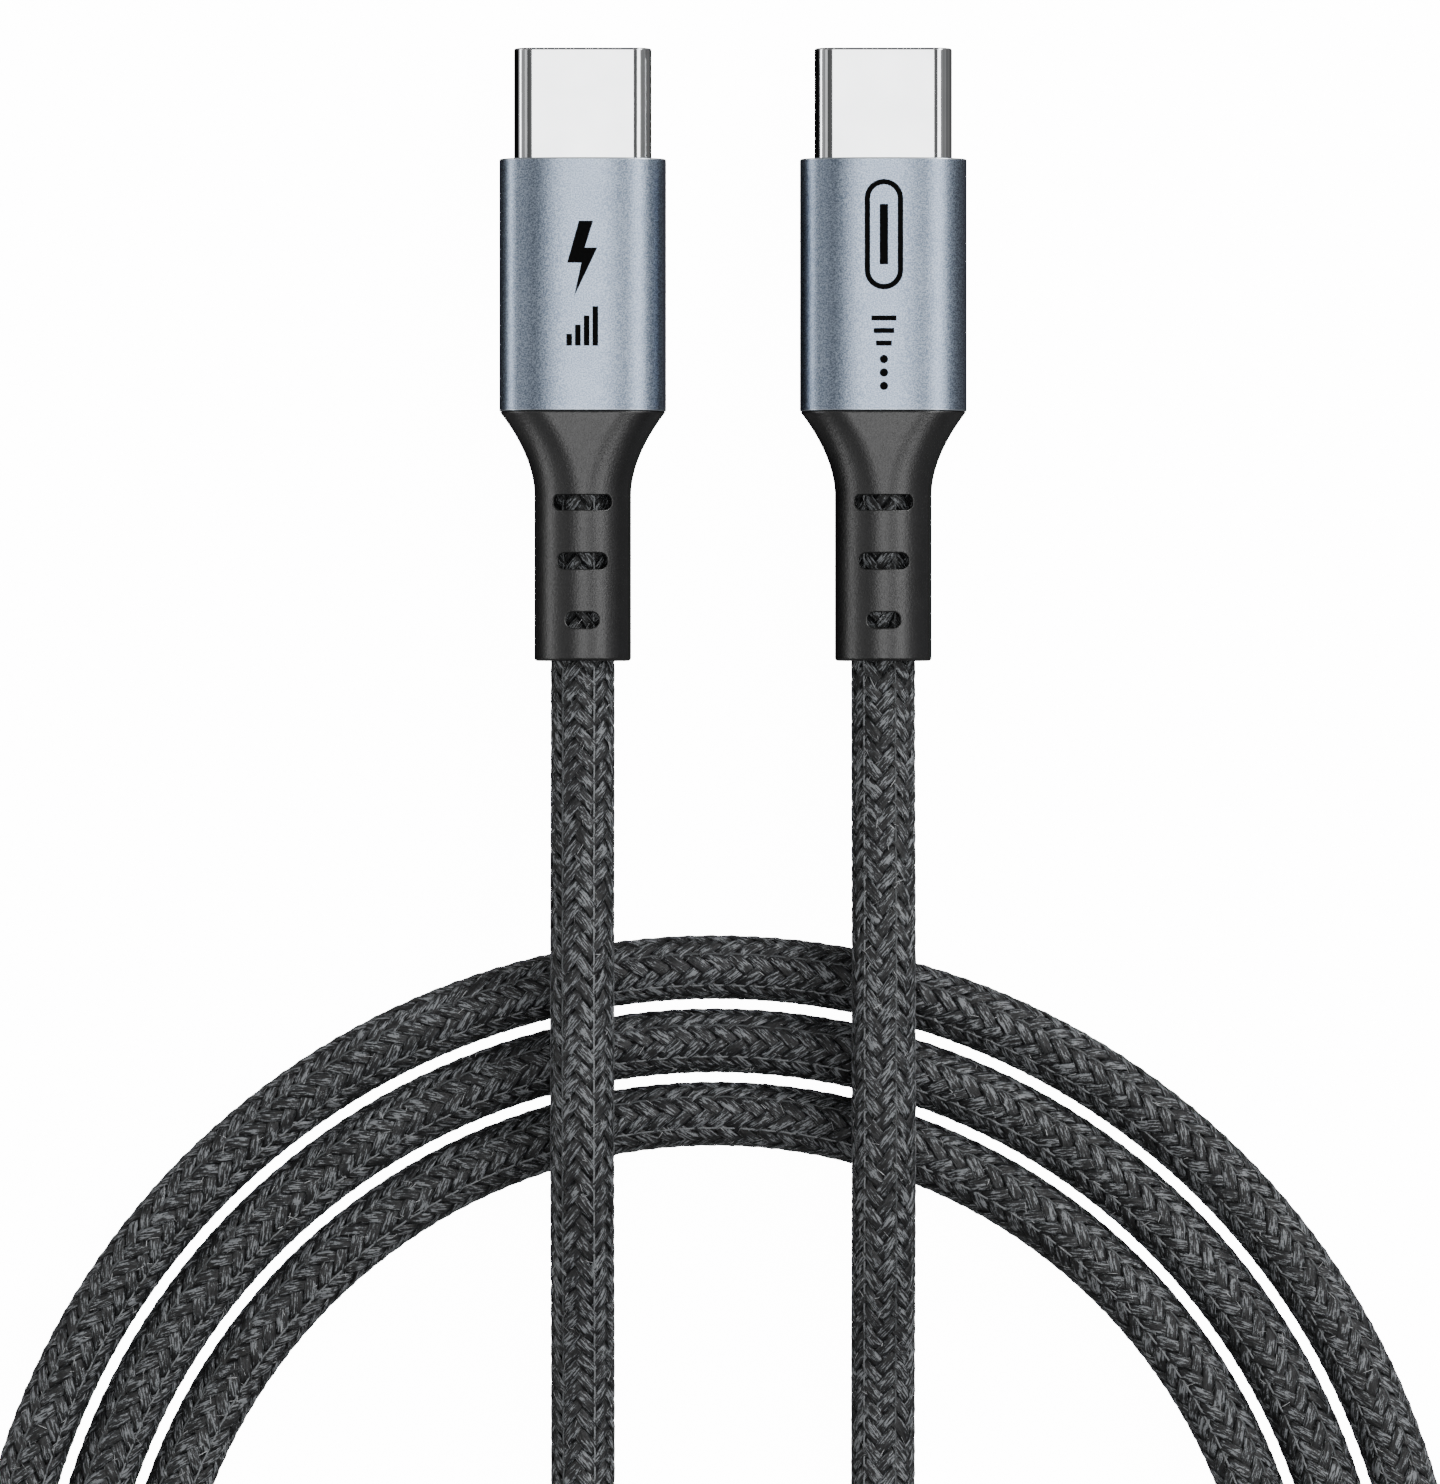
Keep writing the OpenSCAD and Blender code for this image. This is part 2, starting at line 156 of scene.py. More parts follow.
class CablePlugSettings(bpy.types.PropertyGroup):
    """Edges, flare, slots and colours of the plugs. The main sizes come from the CAD model."""

    shell_wall: length("Shell wall", "Thickness of the shell's sheet", 0.3, 0.2, 0.4)
    shell_edge: length("Shell's edge", "Radius of its rolled front edge", 0.14, 0.02, 0.15)
    housing_wall: length("Housing wall", "Thickness of its wall", 0.6, 0.3, 1)
    front_wall: length("Housing's front", "Thickness of its front", 0.8, 0.3, 2)
    housing_edge: length("Housing's edge", "Radius of its front edge", 0.09, 0.02, 0.4)
    fullness: ratio("Housing's fullness", "2 is an ellipse, and more is squarer", 2.7, 2, 5)
    fit: length("Shell opening's gap", "Round the shell, in the housing's front", 0.05, 0.01, 0.2)
    neck: length("Neck diameter", "The strain relief's neck", 5.8, 5, 6)
    flare: length("Flare length", "Where the strain relief widens", 5, 3, 8)
    flare_power: ratio("Flare hollowness", "1 is a straight cone", 1.85, 1, 3)
    relief_edge: length("Strain relief's edge", "Radius of its end's edge", 0.2, 0.05, 0.5)
    slot_width: length("Slot width", "Width of a flex slot", 1, 0.5, 1.5)
    first_slot: length("First slot", "From the housing to the first flex slot", 5.46, 5, 7)
    slot_pitch: length("Slot to slot", "From one slot to the next", 3.53, 2, 5)
    slot_floor: length("Slot's bottom", "Height of its bottom over the plug's axis", 0.7, 0, 2)
    print_height: length("Print thickness", "Height of the printed marks", 0.012, 0.002, 0.05)
    housing_colour: paint("Housing", "Anodised housing", "8793a5")
    steel_colour: paint("Shell", "Polished steel", "e2e3e5")
    rubber_colour: paint("Strain relief", "Moulded rubber", "171718")


class CableStageSettings(bpy.types.PropertyGroup):
    """Camera, floor and lights."""

    lens: ratio("Lens", "Focal length in mm", 300, 50, 500)
    seen: length("Height seen", "Length that the camera sees", 88.9, 40, 300)
    middle_x: length("Middle, across", "Middle of the view", -0.78, -50, 50)
    middle_y: length("Middle, along", "Middle of the view", -23.2, -100, 50)
    overhead: ratio("Overhead", "Power in W", 3.1, subtype="POWER")
    low_left: ratio("Low left", "Power in W", 1.0, subtype="POWER")
    left: ratio("Left", "Power in W", 0.22, subtype="POWER")
    right: ratio("Right", "Power in W", 2.0, subtype="POWER")
    raking: ratio("Raking", "Power in W", 2.7, subtype="POWER")
    glow: ratio("Backdrop glow", "Seen by the camera alone", 14.0)
    room: ratio("Room", "Strength of the surroundings", 0.5)
    floor_colour: paint("Floor", "The paper's colour", "f4f4f3")


# ------------ small tools


def add(tree, kind, inputs=None, out=0, stops=(), **settings):
    """Adds a shader node and returns one of its outputs.

    An input is linked where its value is another node's output, and set where it is a constant.
    stops are a colour ramp's (position, colour) pairs.
    """
    node = tree.nodes.new("ShaderNode" + kind)
    for name, value in settings.items():
        setattr(node, name, value)
    for name, value in (inputs or {}).items():
        if isinstance(value, bpy.types.NodeSocket):
            tree.links.new(value, node.inputs[name])
        else:
            node.inputs[name].default_value = value
    for i, (place, shade) in enumerate(stops):
        band = node.color_ramp.elements
        element = band[i] if i < len(band) else band.new(place)
        element.position = place
        element.color = colour(shade) if isinstance(shade, str) else shade
    return node.outputs[out] if len(node.outputs) else node


def empty_tree(owner):
    """The node tree of a material or a world, with nothing in it."""
    owner.use_nodes = True
    owner.node_tree.nodes.clear()
    return owner.node_tree


def placed(name, data):
    """A new object in the scene."""
    made = bpy.data.objects.new(name, data)
    bpy.context.collection.objects.link(made)
    return made


def mesh_from(work, name, paint_with):
    """Turns a bmesh into a mesh with one material."""
    mesh = bpy.data.meshes.new(name)
    work.to_mesh(mesh)
    work.free()
    mesh.materials.append(paint_with)
    return mesh


def material(recipe, *values):
    """A material named after its recipe, which gives the Principled shader's inputs."""
    made = bpy.data.materials.new(recipe.__name__)
    tree = empty_tree(made)
    shader = add(tree, "BsdfPrincipled", recipe(tree, *values))
    add(tree, "OutputMaterial", {"Surface": shader})
    return made


def finished(work, name, paint_with, replaces=()):
    """Turns a bmesh into a smooth piece of the fixed body, which may stand for CAD nodes."""
    for face in work.faces:
        face.smooth = True
    piece = placed(name, mesh_from(work, name, paint_with))
    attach(piece, "root")
    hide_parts(*replaces)
    return piece


def skin(rings, strand=None, attributes=None):
    """A bmesh through rings of points, where each ring's last point repeats its first.

    rings is (ring, point, 3). With strand set, every that many rings are a solid of their own.
    attributes maps a name to a (ring, point, 3) array that shaders read.
    """
    count, around = rings.shape[:2]
    strand = strand or count
    work = bmesh.new()
    bmesh.ops.create_grid(work, x_segments=count - 1, y_segments=around - 1, size=1.0)
    grid = np.array([v.co[:2] for v in work.verts])
    row = np.rint((grid[:, 0] + 1) / 2 * (count - 1)).astype(int)
    column = np.rint((grid[:, 1] + 1) / 2 * (around - 1)).astype(int)
    if strand < count:
        work.verts.index_update()
        first = [min(row[v.index] for v in face.verts) for face in work.faces]
        between = [f for f, ring in zip(work.faces, first) if ring % strand == strand - 1]
        bmesh.ops.delete(work, geom=between, context="FACES_ONLY")
        loose = [e for e in work.edges if not e.link_faces]
        bmesh.ops.delete(work, geom=loose, context="EDGES")
    for vertex, place in zip(work.verts, rings[row, column]):
        vertex.co = place
    for key, values in (attributes or {}).items():
        layer = work.verts.layers.float_vector.new(key)
        for vertex, value in zip(work.verts, values[row, column]):
            vertex[layer] = value
    seam = np.isin(column, (0, around - 1)) | np.isin(row % strand, (0, strand - 1))
    bmesh.ops.remove_doubles(work, verts=[v for v, s in zip(work.verts, seam) if s], dist=1e-8)
    bmesh.ops.recalc_face_normals(work, faces=work.faces)
    return work


class Step:
    """What the operators share: a step shows its settings and can be undone."""

    bl_options = {"REGISTER", "UNDO"}


# ------------ the cord's line


def eased(t):
    u = min(max(t, 0.0), 1.0)
    return u * u * (3 - 2 * u)


def turn_point(angle, settings):
    """A point on the coil: a turn keeps its radius except where it shifts outwards by a pitch."""
    turn = max(0, math.floor(angle / 360))
    shift = eased((angle - 360 * turn - SHIFT_START) / (SHIFT_END - SHIFT_START))
    radius = settings.coil_radius + settings.coil_pitch * (turn + shift)
    a = math.radians(angle)
    return (COIL_CENTRE[0] + radius * math.cos(a), COIL_CENTRE[1] + radius * math.sin(a), FLOOR_Z)


def smooth_line(points, step):
    """A smooth curve through points: the slope at each comes from its neighbours."""
    p = np.array(points)
    gaps = np.linalg.norm(np.diff(p, axis=0), axis=1)
    runs = np.diff(p, axis=0) / gaps[:, None]
    before, after = gaps[:-1, None], gaps[1:, None]
    between = (runs[:-1] * after + runs[1:] * before) / (before + after)
    slopes = np.vstack([runs[:1], between, runs[-1:]])
    line = []
    for i, gap in enumerate(gaps):
        u = np.arange(0, 1, 1 / max(1, round(gap / step)))[:, None]
        line.append(
            (2 * u**3 - 3 * u**2 + 1) * p[i]
            + (3 * u**2 - 2 * u**3) * p[i + 1]
            + (u**3 - 2 * u**2 + u) * gap * slopes[i]
            + (u**3 - u**2) * gap * slopes[i + 1]
        )
    line = np.vstack([*line, p[-1:]])
    line[:, 2] = np.maximum(line[:, 2], FLOOR_Z)
    return line


class CordLine:
    """The cord's centreline by length, with an upright frame at every point of it."""

    def __init__(self, settings):
        turns = [turn_point(a, settings) for a in range(TURN_START, TURN_END + 1, TURN_STEP)]
        line = smooth_line(LEFT_ROUTE + turns + RIGHT_ROUTE, 0.25 * MM)
        inside = np.array([0, settings.inside, 0])
        self.points = np.vstack([line[:1] + inside, line, line[-1:] + inside])
        steps = np.linalg.norm(np.diff(self.points, axis=0), axis=1)
        self.lengths = np.concatenate([[0], np.cumsum(steps)])
        self.length = float(self.lengths[-1])

    def at(self, lengths):
        axes = [np.interp(lengths, self.lengths, axis) for axis in self.points.T]
        return np.stack(axes, axis=-1)

    def around(self, lengths, angles, radius):
        """Points round the cord, at angles from up towards the left, and the way out at each."""
        reach = 0.4 * MM
        ahead = self.at(np.minimum(lengths + reach, self.length))
        along = ahead - self.at(np.maximum(lengths - reach, 0))
        along /= np.linalg.norm(along, axis=-1, keepdims=True)
        left = np.cross([0, 0, 1.0], along)
        left /= np.linalg.norm(left, axis=-1, keepdims=True)
        out = np.cos(angles)[..., None] * np.cross(along, left) + np.sin(angles)[..., None] * left
        return self.at(lengths) + np.asarray(radius)[..., None] * out, out


# ------------ the braid


STEP_SOFTNESS = 0.12
UNEVENNESS = 0.06
# Width and thickness of a seam yarn and of a stray fibre, and how deep a seam yarn dips.
SEAM_SIZE = (0.12 * MM, 0.08 * MM)
SEAM_DIP = 0.1 * MM
FIBRE_SIZE = (0.038 * MM, 0.026 * MM)
# Stray fibres lie at a yarn's slant to either side, give or take.
FIBRE_SLANT, FIBRE_SPREAD = 0.64, 0.4


def strand_rings(middle, out, width, height, sides=6):
    """Flattened rings round a strand's middle points, closed to a point at both ends."""
    along = np.gradient(middle, axis=0)
    along /= np.linalg.norm(along, axis=1, keepdims=True)
    across = np.cross(along, out)
    across /= np.linalg.norm(across, axis=1, keepdims=True)
    turn = np.linspace(0, 2 * math.pi, sides + 1)
    turn[-1] = 0
    size = np.ones((len(middle), 1))
    size[[0, -1]] = 0
    flat = np.abs(np.cos(turn)) ** 0.8 * np.sign(np.cos(turn)) / 2 * width
    thick = np.sin(turn) * height / 2
    rings = (
        middle[:, None]
        + (size * flat)[..., None] * across[:, None]
        + (size * thick)[..., None] * out[:, None]
    )
    return rings, np.broadcast_to(flat / MM, rings.shape[:2])


def yarn_coords(across, lengths, number):
    """What the shaders read on a yarn: mm across it and along it, and its number."""
    along = np.broadcast_to(lengths[:, None] / MM, across.shape)
    return np.stack([across, along, np.full(across.shape, float(number))], axis=-1)


def spread_over(across, values):
    """A ring-by-ring value as the attribute of every point."""
    return np.repeat(np.broadcast_to(values, across.shape)[..., None], 3, axis=2)


def yarn_rings(line, settings, way, index):
    """One yarn of the braid. It passes over two and under two of those that go the other way."""
    steps = round(line.length / settings.lay * settings.yarns * 4)
    lengths = np.linspace(0, line.length, steps)
    bare = 2 * math.pi * (index / settings.yarns + way * lengths / settings.lay)
    column = settings.first_seam - math.pi / settings.yarns
    wave = np.cos(settings.yarns / 2 * (bare - column))
    # 1 on top of the braid and -1 under it, with short steps between.
    crown = way * wave / np.sqrt(wave**2 + STEP_SOFTNESS)
    height = settings.yarn_height
    radius = settings.diameter / 2 - 0.8 * height + crown * height / 2
    middle, out = line.around(lengths, bare + settings.twist * lengths / line.length, radius)
    uneven = 1 + UNEVENNESS * np.sin(7.1 * index + lengths / (3.1 * MM))
    rings, across = strand_rings(middle, out, (settings.yarn_width * uneven)[:, None], height)
    # Painted shade: 0 where the yarn dips under the others and 1 on its crown, and the braid's
    # colour is darkened by it.
    crown_shade = spread_over(across, (1 + crown[:, None]) / 2)
    return rings, yarn_coords(across, lengths, way * (index + 1)), crown_shade


def seam_rings(line, settings, index):
    """A thin straight yarn laid along the braid between two of its columns."""
    lengths = np.linspace(0, line.length, round(line.length / (0.36 * MM)))
    angle = settings.first_seam + index * 4 * math.pi / settings.yarns
    # It shows in short lengths, between the yarns that cross over it.
    float_length = settings.lay / settings.yarns
    dip = SEAM_DIP * (1 + np.sin(2 * math.pi * lengths / float_length + index)) / 2
    radius = settings.diameter / 2 + 0.02 * MM - dip
    middle, out = line.around(lengths, angle + settings.twist * lengths / line.length, radius)
    rings, across = strand_rings(middle, out, *SEAM_SIZE)
    return rings, yarn_coords(across, lengths, 50 + index), spread_over(across, 1.0)


def fibre_rings(line, settings, lot):
    """Short stray fibres that lie loosely on the braid, both ends tucked in."""
    rng = np.random.default_rng(lot)
    many = settings.stray_fibres
    starts = rng.uniform(2 * MM, line.length - 2 * MM, many)
    angles = rng.uniform(0, 2 * math.pi, many)
    slants = rng.normal(0, 1, many) * FIBRE_SPREAD + rng.choice([-FIBRE_SLANT, FIBRE_SLANT], many)
    long = rng.uniform(0.35, 1.0, many) * MM
    part = np.linspace(-0.5, 0.5, 5)
    lengths = starts[:, None] + np.cos(slants)[:, None] * long[:, None] * part
    surface = settings.diameter / 2
    turned = angles[:, None] + np.sin(slants)[:, None] * long[:, None] * part / surface
    radius = surface + 0.01 * MM - 0.9 * MM * part**4
    middle, out = line.around(lengths, turned, radius)
    rings = np.vstack([strand_rings(*each, *FIBRE_SIZE, 3)[0] for each in zip(middle, out)])
    number = np.repeat(np.arange(many) % 97, len(part))
    return rings, np.broadcast_to(number[:, None, None], rings.shape).astype(float)


def braided_nylon(tree, settings):
    """Braided nylon yarn: painted highlight on its crown, where its colour keeps its full tone,
    and painted shade underneath, where its colour is darkened.
    """
    yarn = add(tree, "Attribute", attribute_name="yarn", out="Vector")
    crown = add(tree, "Attribute", attribute_name="crown", out="Fac")
    place = add(tree, "TexCoord", out="Object")
    # Bundles of filaments 0.09 mm apart and 0.5 mm long, coarser than real ones so that they show.
    threads = add(tree, "Mapping", {"Vector": yarn, "Scale": (11, 1.9, 3.7)})
    fibre = add(
        tree, "TexNoise", {"Vector": threads, "Scale": 1.0, "Detail": 2.0, "Roughness": 0.6}
    )
    # Tufts of 0.7 mm, so that no two crowns are alike.
    bundles = add(tree, "Mapping", {"Vector": yarn, "Scale": (1.4, 1.1, 5.3)})
    tuft = add(tree, "TexNoise", {"Vector": bundles, "Scale": 1.0})
    # Heather of 0.09 mm from fibres that cross the yarns.
    crossing = {"Vector": place, "Scale": 1 / (0.09 * MM), "Detail": 2.0, "Roughness": 0.7}
    heather = add(tree, "TexNoise", crossing)
    # Each pattern, the part of its range that is used, and what it multiplies the tone by.
    gains = [
        (fibre, 0.38, 0.64, 0.0, 1.6),
        # The crown darkens the tone to 0.3 where a yarn dips under the others: painted shade.
        (crown, 0.25, 1.0, 0.3, 1.0),
        (tuft, 0.3, 0.7, 0.45, 1.3),
        (heather, 0.3, 0.7, 0.55, 1.4),
    ]
    names = ("Value", "From Min", "From Max", "To Min", "To Max")
    parts = [add(tree, "MapRange", dict(zip(names, gain))) for gain in gains]
    tone = parts[0]
    for part in parts[1:]:
        tone = add(tree, "Math", {0: tone, 1: part}, operation="MULTIPLY")
    stops = [(0.0, settings.dark), (0.35, settings.middle), (0.75, "2a2c2e")]
    stops.append((1.0, settings.light))
    return {
        "Base Color": add(tree, "ValToRGB", {"Fac": tone}, stops=stops),
        "Roughness": add(tree, "MapRange", {"Value": fibre, "To Min": 0.65, "To Max": 0.35}),
        "Specular IOR Level": 0.4,
        "Sheen Weight": 0.04,
        "Sheen Roughness": 0.4,
        "Sheen Tint": colour("c8ccd2"),
        "Normal": add(tree, "Bump", {"Height": fibre, "Distance": 0.09 * MM}),
    }


def fibre_look(tree, dark, light):
    """Single filaments, each of its own shade between two greys."""
    yarn = add(tree, "Attribute", attribute_name="yarn", out="Vector")
    number = add(tree, "SeparateXYZ", {"Vector": yarn}, out="Z")
    pick = add(tree, "TexWhiteNoise", {"W": number}, noise_dimensions="1D")
    place = add(tree, "TexCoord", out="Object")
    grain = add(tree, "TexNoise", {"Vector": place, "Scale": 1 / (0.07 * MM)})
    gain = add(tree, "MapRange", {"Value": grain, "To Min": 0.5, "To Max": 1.4})
    tone = add(tree, "Math", {0: pick, 1: gain}, operation="MULTIPLY")
    stops = [(0.0, dark), (0.55, dark), (1.0, light)]
    return {
        "Base Color": add(tree, "ValToRGB", {"Fac": tone}, stops=stops),
        "Roughness": add(tree, "MapRange", {"Value": grain, "To Min": 0.3, "To Max": 0.6}),
        "Sheen Weight": 0.05,
    }


def straight_seam_yarn(tree):
    """Thin seam yarns, a pale line along the braid."""
    return fibre_look(tree, "3e4143", "94979a")


def stray_nylon_fibre_painted_glints(tree):
    """Stray fibres, most of them dark and some painted near white as glints, a painted highlight.
    """
    # The near-white end of these tones paints glints on the fibres.
    return fibre_look(tree, "17191a", "e6e8ea")


def extruded_jacket(tree):
    """Extruded jacket of dark elastomer with a faint orange-peel, seen between the yarns."""
    place = add(tree, "TexCoord", out="Object")
    grain = add(tree, "TexNoise", {"Vector": place, "Scale": 1 / (0.16 * MM)})
    stops = [(0.3, "0c0c0d"), (0.7, "18191a")]
    return {
        "Base Color": add(tree, "ValToRGB", {"Fac": grain}, stops=stops),
        "Roughness": add(tree, "MapRange", {"Value": grain, "To Min": 0.6, "To Max": 0.8}),
        "Normal": add(tree, "Bump", {"Height": grain, "Distance": 0.02 * MM}),
    }


class CABLE_OT_cord(Step, bpy.types.Operator):
    """Builds the cord: its jacket, the braid over it, its seam yarns and stray fibres"""

    bl_idname = "cable.cord"
    bl_label = "Cord"

    def execute(self, context):
        settings = context.scene.cable_cord
        line = CordLine(settings)
        core = self.core(line, settings)
        braid = self.braid(line, settings)
        ends = [f"{side}_plug_cable_end" for side in SIDES]
        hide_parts("left_lead", "coil", "right_lead", *ends)
        return {"FINISHED"}

    def core(self, line, settings):
        curve = bpy.data.curves.new("cord", "CURVE")
        curve.dimensions = "3D"
        curve.bevel_depth = settings.core / 2
        curve.bevel_resolution = 3
        curve.use_fill_caps = True
        lengths = np.linspace(0, line.length, round(line.length / (2 * MM)))
        spline = curve.splines.new("POLY")
        spline.points.add(len(lengths) - 1)
        for point, place in zip(spline.points, line.at(lengths)):
            point.co = (*place, 1)
        curve.materials.append(material(extruded_jacket))
        core = placed("cord", curve)
        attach(core, "root")
        return core

    def braid(self, line, settings):
        """The yarns in pieces of four, then the seam yarns and the stray fibres."""
        ways = [(way, index) for index in range(settings.yarns) for way in (1, -1)]
        yarns = [yarn_rings(line, settings, way, index) for way, index in ways]
        seams = [seam_rings(line, settings, index) for index in range(settings.yarns // 2)]
        nylon = material(braided_nylon, settings)
        made = [
            self.strands(f"braid_yarns_{start // 4 + 1}", yarns[start : start + 4], nylon)
            for start in range(0, len(yarns), 4)
        ]
        made.append(self.strands("braid_seams", seams, material(straight_seam_yarn)))
        fibre = material(stray_nylon_fibre_painted_glints)
        for lot in (1, 2):
            rings, coords = fibre_rings(line, settings, lot)
            work = skin(rings, 5, {"yarn": coords})
            made.append(finished(work, f"stray_fibres_{lot}", fibre))
        return made

    def strands(self, name, strands, paint_with):
        rings, coords, crown_shades = (np.vstack(part) for part in zip(*strands))
        # The crown attribute carries the painted shade of each yarn.
        work = skin(rings, len(strands[0][0]), {"yarn": coords, "crown": crown_shades})
        return finished(work, name, paint_with)


# ------------ plugs


def plug_sizes(side):
    """Sizes and stations of one plug, from the CAD model's boxes."""
    low, high = {}, {}
    for part in ("shell", "housing", "strain_relief"):
        low[part], high[part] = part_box(f"{side}_plug_{part}")
    return {
        "middle": (low["shell"] + high["shell"]) / 2,
        "shell": (high["shell"].x - low["shell"].x, high["shell"].z - low["shell"].z),
        "housing": (high["housing"].x - low["housing"].x, high["housing"].z - low["housing"].z),
        "tip": high["shell"].y,
        "shell_back": low["shell"].y,
        "front": high["housing"].y,
        "back": low["housing"].y,
        "end": low["strain_relief"].y,
    }


def rounded(y, size, radius, end=1, outside=1, steps=6):
    """Stations over a rounded edge, from the wall to the end face.

    end is 1 at a front end and -1 at a back end, and outside is -1 on an inner wall.
    """
    stations = []
    for turn in np.linspace(0, math.pi / 2, steps):
        inset = 2 * outside * radius * (1 - np.cos(turn))
        place = y - end * radius * (1 - math.sin(turn))
        stations.append((place, size[0] - inset, size[1] - inset, 1))
    return stations


def sleeve(stations, middle, segments, fullness=None):
    """A closed tube through a ring for each station, and back to the first.

    Each station is (y, width, height, edge), and the last is 1 on an edge, where the housing's
    colour
    is painted lighter: worn bare metal and a painted highlight. The outline is a stadium, or a
    superellipse where its fullness is given.
    """
    y, width, height, wear_and_highlight = np.array([*stations, stations[0]]).T[..., None]
    turn = (np.arange(segments + 1) % segments + 0.5) * 2 * math.pi / segments
    x, z = np.cos(turn), np.sin(turn)
    if fullness:
        x, z = (np.sign(part) * np.abs(part) ** (2 / fullness) for part in (x, z))
        x = x * width / 2
    else:
        x = np.sign(x) * (width - height) / 2 + x * height / 2
    rings = np.stack(np.broadcast_arrays(middle.x + x, y, middle.z + z * height / 2), axis=-1)
    return skin(rings, attributes={"edge": spread_over(rings[..., 0], wear_and_highlight)})


def polished_steel(tree, settings):
    """Polished stainless sheet: mirror bright, with faint drawing lines and a softer edge."""
    place = add(tree, "TexCoord", out="Object")
    haze = add(tree, "TexNoise", {"Vector": place, "Scale": 1 / (2.8 * MM), "Detail": 3.0})
    # Drawing lines 0.04 mm apart and 1 mm long.
    lines = add(tree, "Mapping", {"Vector": place, "Scale": (26 / MM, 0.9 / MM, 26 / MM)})
    scratch = add(tree, "TexNoise", {"Vector": lines, "Scale": 1.0})
    edge = add(tree, "Attribute", attribute_name="edge", out="Fac")
    base_rough = add(tree, "MapRange", {"Value": haze, "To Min": 0.04, "To Max": 0.08})
    edge_rough = add(tree, "Math", {0: edge, 1: 0.1}, operation="MULTIPLY")
    stops = [(0.3, "d6d8da"), (0.7, settings.steel_colour)]
    return {
        "Metallic": 1.0,
        "Base Color": add(tree, "ValToRGB", {"Fac": haze}, stops=stops),
        "Roughness": add(tree, "Math", {0: base_rough, 1: edge_rough}, operation="ADD"),
        "Normal": add(tree, "Bump", {"Height": scratch, "Distance": 0.0003 * MM}),
    }


def anodised_aluminium(tree, settings):
    """Bead-blasted, anodised aluminium: a fine grain breaks up reflections, and the cut edges are
    painted lighter, bare metal and a painted highlight.
    """
    place = add(tree, "TexCoord", out="Object")
    # Blasted grain of 0.08 mm, as fine as a close view shows.
    blasted = {"Vector": place, "Scale": 1 / (0.08 * MM), "Detail": 1.0, "Roughness": 0.6}
    grain = add(tree, "TexNoise", blasted)
    cloud = add(tree, "TexNoise", {"Vector": place, "Scale": 1 / (2 * MM)})
    edge = add(tree, "Attribute", attribute_name="edge", out="Fac")
    spread = {"Value": grain, "From Min": 0.3, "From Max": 0.7, "To Min": -0.7, "To Max": 0.7}
    grain_tone = add(tree, "MapRange", spread)
    cloud_tone = add(tree, "MapRange", {"Value": cloud, "To Min": 0.35, "To Max": 0.65})
    tone = add(tree, "Math", {0: grain_tone, 1: cloud_tone}, operation="ADD")
    stops = [(0.1, "707c8e"), (0.5, settings.housing_colour), (0.9, "a2aebf")]
    body = add(tree, "ValToRGB", {"Fac": tone}, stops=stops)
    # Painted highlight and wear: the edges take a lighter bare-metal tone.
    edge_wear_and_highlight = {"Factor": edge, 6: body, 7: colour("b9c2cc")}
    return {
        "Metallic": 1.0,
        "Base Color": add(tree, "Mix", edge_wear_and_highlight, out=2, data_type="RGBA"),
        "Roughness": add(tree, "MapRange", {"Value": grain, "To Min": 0.26, "To Max": 0.42}),
        "Normal": add(tree, "Bump", {"Height": grain, "Distance": 0.007 * MM}),
    }


def moulded_rubber(tree, settings):
    """Matte thermoplastic rubber with the fine spark texture of its mould."""
    place = add(tree, "TexCoord", out="Object")
    spark = {"Vector": place, "Scale": 1 / (0.13 * MM), "Detail": 2.0, "Roughness": 0.7}
    grain = add(tree, "TexNoise", spark)
    cloud = add(tree, "TexNoise", {"Vector": place, "Scale": 1 / (1.4 * MM)})
    stops = [(0.3, "121213"), (0.7, settings.rubber_colour)]
    return {
        "Base Color": add(tree, "ValToRGB", {"Fac": cloud}, stops=stops),
        "Roughness": add(tree, "MapRange", {"Value": grain, "To Min": 0.3, "To Max": 0.42}),
        "Specular IOR Level": 0.6,
        "Normal": add(tree, "Bump", {"Height": grain, "Distance": 0.022 * MM}),
    }


def printed_ink(tree):
    """Pad-printed black ink, slightly speckled by the blasted metal under it."""
    place = add(tree, "TexCoord", out="Object")
    speck = add(tree, "TexNoise", {"Vector": place, "Scale": 1 / (0.08 * MM)})
    stops = [(0.3, "030303"), (0.75, "0a0a0a")]
    return {
        "Base Color": add(tree, "ValToRGB", {"Fac": speck}, stops=stops),
        "Roughness": add(tree, "MapRange", {"Value": speck, "To Min": 0.7, "To Max": 0.9}),
        "Specular IOR Level": 0.05,
        "Normal": add(tree, "Bump", {"Height": speck, "Distance": 0.002 * MM}),
    }


class CABLE_OT_shells(Step, bpy.types.Operator):
    """Builds the steel shell of each plug, with a rolled front edge"""

    bl_idname = "cable.shells"
    bl_label = "Plug shells"

    def execute(self, context):
        settings = context.scene.cable_plug
        steel = material(polished_steel, settings)
        wall, edge = settings.shell_wall, settings.shell_edge
        inner_edge = wall - edge - 0.08 * MM
        for side in SIDES:
            s = plug_sizes(side)
            inside = tuple(size - 2 * wall for size in s["shell"])
            stations = [
                (s["shell_back"], *s["shell"], 0),
                (s["front"], *s["shell"], 0),
                (s["tip"] - 1.3 * edge, *s["shell"], 0),
                *rounded(s["tip"], s["shell"], edge),
                *reversed(rounded(s["tip"], inside, inner_edge, outside=-1)),
                (s["tip"] - 2 * inner_edge, *inside, 0),
                (s["shell_back"], *inside, 0),
            ]
            work = sleeve(stations, s["middle"], 56)
            node = f"{side}_plug_shell"
            finished(work, f"{node}_rolled", steel, replaces=[node])
        return {"FINISHED"}


